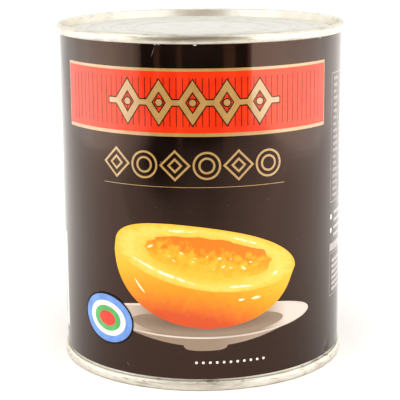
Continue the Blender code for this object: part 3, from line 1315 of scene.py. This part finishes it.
class CAN_OT_print_sides(bpy.types.Operator):
    """Print the table of plain bars at the right, the white field at the left and the dots at the foot"""

    bl_idname = "can.print_sides"
    bl_label = "Print Sides"

    def table_layers(self, line_ink, pale, bright):
        """Two thin frames with plain bars in them, and between them squares with bars and a pale band."""
        left = 55.9 * MM
        right = 90.0 * MM
        line = 0.25 * MM
        # Heights above the floor, in millimetres
        upper = (58.6, 104.4)
        middle = (43.6, 58.6)
        lower = (24.4, 40.2)
        margin = 1.6
        layers = []
        for span in (upper, lower):
            low, high = (value * MM for value in span)
            inside = rectangle(left + line, right - line, low + line, high - line)
            layers.append((filled(rectangle(left, right, low, high), inside), 1, line_ink))
        band = rectangle(left, right, 40.9 * MM, 43.6 * MM)
        layers.append((filled(band), 1, line_ink))
        # Span; step, height, start and width of its bars in millimetres; share of the shortest; ink; seed
        blocks = (
            (upper, 2.3, 1.2, 1.8, 6.2, 0.5, pale, 3),
            (upper, 2.3, 1.2, 9.6, 22.5, 0.45, pale, 4),
            (lower, 2.1, 1.3, 2.2, 29.0, 0.7, line_ink, 5),
            (middle, 2.7, 1.2, 3.6, 23.0, 0.4, line_ink, 6),
            (middle, 4.9, 1.7, 0.2, 1.5, 1.0, bright, 8),
        )
        for (low, high), step, tall, start, width, shortest, ink, seed in blocks:
            rows = int((high - low - margin) / step)
            values = {
                "Count": rows,
                "First": (left + start * MM, (low + step) * MM, 0.0),
                "Step": (0.0, step * MM, 0.0),
                "Width": width * MM,
                "Height": tall * MM,
                "Shortest": shortest,
                "Seed": seed,
                "Material": ink,
            }
            layers.append((grown(bar_row_tree(), values), 2, ink))
        return layers

    def field_layers(self, white, dark):
        """A white field with even upright bars."""
        left = -98.0 * MM
        right = -65.4 * MM
        low = 11.3 * MM
        high = 46.8 * MM
        side_margin = 5.6 * MM
        height_margin = 8.0 * MM
        values = {
            "Count": 14,
            "First": (left + side_margin, (low + high) / 2, 0.0),
            "Step": (1.6 * MM, 0.0, 0.0),
            "Width": 0.8 * MM,
            "Height": high - low - height_margin,
            "Shortest": 1.0,
            "Material": dark,
        }
        field = filled(rectangle(left, right, low, high))
        return [(field, 1, white), (grown(bar_row_tree(), values), 2, dark)]

    def dot_layers(self, white):
        """A short line of small dots low on the front."""
        dot = 0.95 * MM
        values = {
            "Count": 11,
            "First": (-2.2 * MM, 9.9 * MM, 0.0),
            "Step": (2.35 * MM, 0.0, 0.0),
            "Sides": 16,
            "Width": dot,
            "Height": dot,
            "Hole": 0.02,
            "Material": white,
        }
        return [(grown(ring_row_tree(), values), 1, white)]

    def execute(self, context):
        label = context.scene.can_label
        line_ink = print_material("table line ink", (0.28, 0.26, 0.24), (0.36, 0.34, 0.32), patch=1.6 * MM)
        pale = print_material("pale table ink", (0.16, 0.145, 0.135), (0.24, 0.22, 0.20), patch=1.2 * MM)
        bright = print_material("bright table ink", (0.62, 0.60, 0.57), (0.70, 0.68, 0.64))
        white = print_material("white field ink", label.paper, (0.70, 0.67, 0.62))
        dark = print_material("field bar ink", label.ink, label.ink_light)
        print_piece("side_table", self.table_layers(line_ink, pale, bright))
        print_piece("side_field", self.field_layers(white, dark))
        print_piece("foot_dots", self.dot_layers(white))
        return {"FINISHED"}


class CAN_OT_add_wear(bpy.types.Operator):
    """Add chips at the label's upper edge, the white edge of its lap, fine scratches, small specks, and
    painted shade in the dent at the foot
    """

    bl_idname = "can.add_wear"
    bl_label = "Add Wear"

    def chip(self, along, width, depth, draw):
        """A ragged chip that starts at the label's upper edge."""
        head = LABEL_HEAD - 2 * NEAR
        steps = 5
        points = [(along - width / 2, head)]
        for i in range(1, steps):
            share = i / steps
            low = head - depth * math.sin(math.pi * share) * draw.uniform(0.7, 1.2)
            points.append((along - width / 2 + width * share, low))
        points.append((along + width / 2, head))
        return list(reversed(points))

    def scratch(self, start, end, width):
        """A fine straight scratch, pointed at both ends."""
        a = Vector(start)
        b = Vector(end)
        side = (b - a).orthogonal().normalized() * width / 2
        middle = (a + b) / 2
        return [tuple(a), tuple(middle - side), tuple(b), tuple(middle + side)]

    def execute(self, context):
        label = context.scene.can_label
        draw = random.Random(7)
        bare = print_material("bare paper", label.paper, (0.6, 0.57, 0.52), patch=0.5 * MM, roughness=0.5)
        scraped = ((0.06, 0.05, 0.045), (0.12, 0.10, 0.09))
        faint = print_material("scratched ink", *scraped, patch=1 * MM, roughness=0.3)
        # Dark matt colour of the painted shade in the dent at the foot
        dent_shade_colours = ((0.006, 0.004, 0.003), (0.012, 0.008, 0.006))
        dent_shade = print_material("painted dent shade ink", *dent_shade_colours, patch=1 * MM, roughness=0.6, specular=0.1)
        # Place, width and depth of each chip in millimetres
        chips = ((-1.8, 1.6, 0.42), (-14.9, 0.9, 0.3), (-13.6, 0.6, 0.25), (46.5, 1.1, 0.35))
        # Ends and width of each scratch in millimetres
        scratches = (
            ((-15.0, 116.9), (-16.4, 113.0), 0.22),
            ((-27.5, 8.2), (-26.4, 6.3), 0.3),
            ((22.0, 66.0), (24.0, 65.0), 0.12),
        )
        layers = []
        for along, width, depth in chips:
            shape = self.chip(along * MM, width * MM, depth * MM, draw)
            layers.append((filled(shape), 2, bare))
        for start, end, width in scratches:
            shape = self.scratch([value * MM for value in start], [value * MM for value in end], width * MM)
            layers.append((filled(shape), 2, faint))
        # Painted shade in the dent at the label's foot
        dent_shade_oval = oval((53.7 * MM, 5.9 * MM), 0.8 * MM, 1.3 * MM, turn=-14.0, count=24)
        layers.append((filled(dent_shade_oval), 1, dent_shade))
        edge_width = 0.2 * MM
        edge_margin = 0.06 * MM
        edge_level = 9.7
        lap_end = HALF_TURN + label.lap / 2
        edge = rectangle(
            lap_end - edge_width, lap_end - 2 * NEAR, LABEL_FOOT + edge_margin, LABEL_HEAD - edge_margin
        )
        layers.append((filled(edge), edge_level, bare))
        values = {
            "Count": 26,
            "Low Corner": (-45 * MM, LABEL_FOOT + 1 * MM, 0.0),
            "High Corner": (48 * MM, 84 * MM, 0.0),
            "Smallest": 0.16 * MM,
            "Largest": 0.42 * MM,
            "Seed": 11,
            "Material": faint,
        }
        speck_level = 17
        layers.append((grown(speck_tree(), values), speck_level, faint))
        print_piece("label_wear_and_dent_shade", layers)
        return {"FINISHED"}


class CAN_OT_set_studio(bpy.types.Operator):
    """Set the pale floor, the lit cloths, the dark cloth in front, the soft light and the camera"""

    bl_idname = "can.set_studio"
    bl_label = "Set Studio"

    def plain_material(self, name, shade):
        """A matt material of one shade."""
        material, tree, shader, where = start_material(name, 1.0, specular=0.0)
        shader.inputs["Base Color"].default_value = (*shade, 1.0)
        return material, tree, shader, where

    def light_up(self, tree, shader, glow):
        """Give a sheet a white light of its own, as strong as a value of its tree says."""
        shader.inputs["Emission Color"].default_value = (*WHITE, 1.0)
        tree.links.new(glow, shader.inputs["Emission Strength"])

    def warm_white(self, level):
        """A slightly warm white, dimmed to a level."""
        return (level, 0.97 * level, 0.94 * level)

    def add_sheet(self, name, corners, material):
        """A flat sheet of the studio."""
        mesh = bpy.data.meshes.new(name)
        mesh.from_pydata(corners, [], [(0, 1, 2, 3)])
        mesh.materials.append(material)
        sheet = bpy.data.objects.new(name, mesh)
        bpy.context.scene.collection.objects.link(sheet)
        return sheet

    def add_floor(self, settings):
        """A wide pale floor, lit a little from below behind the can, at its sides and far in front."""
        half = 3.0
        # Each glow is (where it starts, where it ends, its strength at the start, its strength at the end)
        behind_glow = (-0.1, 0.5, 0.02, 0.42)
        side_glow = (0.08, 0.2, 0.0, 0.27)
        front_glow = (-0.5, -0.4, 0.5, 0.0)
        material, tree, shader, where = self.plain_material("studio floor", settings.floor)
        parts = split(tree, where)
        behind = map_range(tree, parts["Y"], *behind_glow)
        beside = map_range(tree, maths(tree, "ABSOLUTE", parts["X"]), *side_glow)
        front = map_range(tree, parts["Y"], *front_glow)
        ends = maths(tree, "ADD", behind, front)
        self.light_up(tree, shader, maths(tree, "ADD", ends, beside))
        corners = [(-half, -half, 0.0), (half, -half, 0.0), (half, half, 0.0), (-half, half, 0.0)]
        self.add_sheet("studio_floor", corners, material)

    def add_shade_mat(self, settings):
        """A darker mat under the camera, painted shade of the floor there, seen only in the can's
        reflections, that fades into the floor.
        """
        left = -0.46
        right = 0.45
        near_edge = -0.49
        far_edge = -0.16
        rise = 0.5 * MM
        # Where the mat fades into the floor, the bounds of a painted shadow on it, and its glow at both
        # sides
        fade = (-0.36, far_edge)
        shadow_end = (-0.33, -0.26, 0.9, 0.0)
        shadow_left = (-0.34, -0.30)
        shadow_right = (-0.2, -0.06, 1.0, 0.0)
        right_glow = (0.04, 0.2, 0.0, 0.45)
        left_glow = (-0.4, -0.34, 1.2, 0.0)
        material, tree, shader, where = self.plain_material("studio shade mat", settings.mat)
        parts = split(tree, where)
        plain = blend(tree, map_range(tree, parts["Y"], *fade), settings.mat, settings.floor)
        # A painted shadow on the mat, in the backing's dark colour
        far_end = map_range(tree, parts["Y"], *shadow_end)
        from_left = map_range(tree, parts["X"], *shadow_left)
        to_right = map_range(tree, parts["X"], *shadow_right)
        shade = maths(tree, "MULTIPLY", maths(tree, "MULTIPLY", from_left, to_right), far_end)
        tree.links.new(blend(tree, shade, plain, settings.backing), shader.inputs["Base Color"])
        at_right = map_range(tree, parts["X"], *right_glow)
        at_left = map_range(tree, parts["X"], *left_glow)
        self.light_up(tree, shader, maths(tree, "ADD", at_right, at_left))
        corners = [
            (left, near_edge, rise),
            (right, near_edge, rise),
            (right, far_edge, rise),
            (left, far_edge, rise),
        ]
        mat = self.add_sheet("studio_shade_mat", corners, material)
        mat.visible_camera = False
        mat.visible_diffuse = False
        mat.visible_shadow = False

    def add_cloth(self, name, x, brightness, height):
        """A white side cloth, lit low down by (depth behind the can, radiance) and evenly higher up."""
        upper_front = 1.85
        upper_back = 1.42
        upper_change = (-0.2, -0.05)
        rise = (0.05, 0.15)
        near = brightness[0][0]
        far = brightness[-1][0]
        most = max(value for depth, value in brightness)
        material, tree, shader, where = self.plain_material(name, BLACK)
        parts = split(tree, where)
        stops = [(depth, self.warm_white(value / most)) for depth, value in brightness]
        lower = colour_ramp(tree, parts["Y"], stops, "EASE")
        backward = map_range(tree, parts["Y"], *upper_change)
        front_shade = self.warm_white(upper_front / most)
        back_shade = self.warm_white(upper_back / most)
        upper = blend(tree, backward, front_shade, back_shade)
        light = blend(tree, map_range(tree, parts["Z"], *rise), lower, upper)
        tree.links.new(light, shader.inputs["Emission Color"])
        shader.inputs["Emission Strength"].default_value = most
        corners = [(x, near, 0.0), (x, far, 0.0), (x, far, height), (x, near, height)]
        cloth = self.add_sheet(name, corners, material)
        cloth.visible_camera = False

    def add_upright(self, name, left, right, y, low, high, material):
        """An upright sheet in front of the can, behind the camera, for its reflections alone."""
        corners = [(left, y, low), (right, y, low), (right, y, high), (left, y, high)]
        sheet = self.add_sheet(name, corners, material)
        sheet.visible_camera = False

    def add_backing(self, settings):
        """The dark cloth behind the camera, its core and paler strips, and the white cards beside it."""
        cloth_y = -0.49
        core_y = -0.488
        strip_y = -0.487
        foot = 0.0
        middle = 0.1
        upper = 0.2
        top = settings.backing_height
        shade_rise = (0.05, 0.12)
        card_light = 1.7
        dark, tree, shader, where = self.plain_material("backing", settings.backing)
        raised = map_range(tree, split(tree, where)["Z"], *shade_rise)
        shade = blend(tree, raised, settings.backing, settings.backing_top)
        tree.links.new(shade, shader.inputs["Base Color"])
        pale = self.plain_material("backing strip", settings.backing_light)[0]
        core = self.plain_material("backing core", settings.backing_core)[0]
        card = self.plain_material("white card", BLACK)[0]
        card_shader = card.node_tree.nodes["Principled BSDF"]
        card_shader.inputs["Emission Color"].default_value = (*WHITE, 1.0)
        card_shader.inputs["Emission Strength"].default_value = card_light
        self.add_upright("backing", -0.52, 0.39, cloth_y, foot, middle, dark)
        self.add_upright("backing top", -0.41, 0.36, cloth_y, middle, upper, dark)
        self.add_upright("backing core", -0.20, 0.08, core_y, middle, upper, core)
        self.add_upright("backing crown", -0.21, 0.19, cloth_y, upper, top, dark)
        self.add_upright("white card left", -0.62, -0.21, cloth_y, upper, top, card)
        self.add_upright("white card right", 0.19, 0.44, cloth_y, upper, top, card)
        for start, end in ((-0.34, -0.29), (-0.155, -0.12), (0.15, 0.235), (0.35, 0.39)):
            self.add_upright("backing strip", start, end, strip_y, foot, middle, pale)

    def add_top_light(self, power):
        """A wide soft light above the camera."""
        place = Vector((0.0, -0.55, 0.94))
        width = 1.2
        depth = 0.8
        data = bpy.data.lights.new("top light", "AREA")
        data.shape = "RECTANGLE"
        data.size = width
        data.size_y = depth
        data.energy = power
        light = bpy.data.objects.new("top light", data)
        turn = (-place).to_track_quat("-Z", "Y").to_matrix().to_4x4()
        light.matrix_world = Matrix.Translation(place) @ turn
        bpy.context.scene.collection.objects.link(light)
        light.visible_glossy = False

    def add_sky(self, brightness):
        """Even white surroundings."""
        world = bpy.data.worlds.new("white surroundings")
        world.use_nodes = True
        surroundings = world.node_tree.nodes["Background"]
        surroundings.inputs["Color"].default_value = (*WHITE, 1.0)
        surroundings.inputs["Strength"].default_value = brightness
        bpy.context.scene.world = world

    def add_camera(self, settings):
        """A camera at the photograph's place and angle."""
        pitch = settings.pitch
        yaw = settings.yaw
        forward = Vector(
            (math.sin(yaw) * math.cos(pitch), math.cos(yaw) * math.cos(pitch), -math.sin(pitch))
        )
        right = Vector((math.cos(yaw), -math.sin(yaw), 0.0))
        up = right.cross(forward)
        tilted_right = right * math.cos(settings.roll) + up * math.sin(settings.roll)
        tilted_up = up * math.cos(settings.roll) - right * math.sin(settings.roll)
        turn = Matrix((tilted_right, tilted_up, -forward)).transposed()
        data = bpy.data.cameras.new("camera")
        data.lens = settings.lens
        data.sensor_width = 36.0
        data.clip_start = 0.01
        camera = bpy.data.objects.new("camera", data)
        camera.matrix_world = Matrix.Translation((0.0, -settings.distance, settings.height)) @ turn.to_4x4()
        bpy.context.scene.collection.objects.link(camera)
        bpy.context.scene.camera = camera

    def execute(self, context):
        settings = context.scene.can_studio
        self.add_floor(settings)
        self.add_shade_mat(settings)
        # Depth behind the can and radiance of each cloth's lower part
        left = ((-0.44, 1.0), (-0.33, 2.15), (-0.12, 3.45), (0.03, 3.2), (0.2, 2.2), (0.4, 1.6), (1.2, 1.4))
        right = ((-0.6, 3.4), (-0.2, 3.8), (-0.1, 3.5), (0.1, 2.8), (0.2, 2.2), (0.5, 1.9), (1.2, 1.5))
        left_x = -0.465
        right_x = 0.455
        self.add_cloth("left cloth", left_x, left, settings.cloth_height)
        self.add_cloth("right cloth", right_x, right, settings.cloth_height)
        self.add_backing(settings)
        self.add_top_light(settings.top_light)
        self.add_sky(settings.sky)
        self.add_camera(settings)
        context.scene.view_settings.view_transform = "Standard"
        return {"FINISHED"}


class CAN_PT_looks(bpy.types.Panel):
    """Steps that build the looks of the can"""

    bl_idname = "CAN_PT_looks"
    bl_label = "Food Can"
    bl_space_type = "VIEW_3D"
    bl_region_type = "UI"
    bl_category = "Food Can"

    def draw(self, context):
        for step in STEPS:
            self.layout.operator(step.bl_idname)


SETTINGS = {
    "can_tinplate": TinplateSettings,
    "can_label": LabelSettings,
    "can_panel": PanelSettings,
    "can_fruit": FruitSettings,
    "can_studio": StudioSettings,
}

STEPS = (
    CAN_OT_make_ends,
    CAN_OT_finish_body,
    CAN_OT_make_label,
    CAN_OT_print_panel,
    CAN_OT_print_ornaments,
    CAN_OT_print_fruit,
    CAN_OT_print_roundel,
    CAN_OT_print_sides,
    CAN_OT_add_wear,
    CAN_OT_set_studio,
)


def register():
    for name, group in SETTINGS.items():
        bpy.utils.register_class(group)
        setattr(bpy.types.Scene, name, PointerProperty(type=group))
    for step in (*STEPS, CAN_PT_looks):
        bpy.utils.register_class(step)


def unregister():
    for step in (CAN_PT_looks, *reversed(STEPS)):
        bpy.utils.unregister_class(step)
    for name, group in SETTINGS.items():
        delattr(bpy.types.Scene, name)
        bpy.utils.unregister_class(group)


def main():
    register()
    bpy.ops.can.make_ends()
    bpy.ops.can.finish_body()
    bpy.ops.can.make_label()
    bpy.ops.can.print_panel()
    bpy.ops.can.print_ornaments()
    bpy.ops.can.print_fruit()
    bpy.ops.can.print_roundel()
    bpy.ops.can.print_sides()
    bpy.ops.can.add_wear()
    bpy.ops.can.set_studio()


if __name__ == "__main__":
    main()
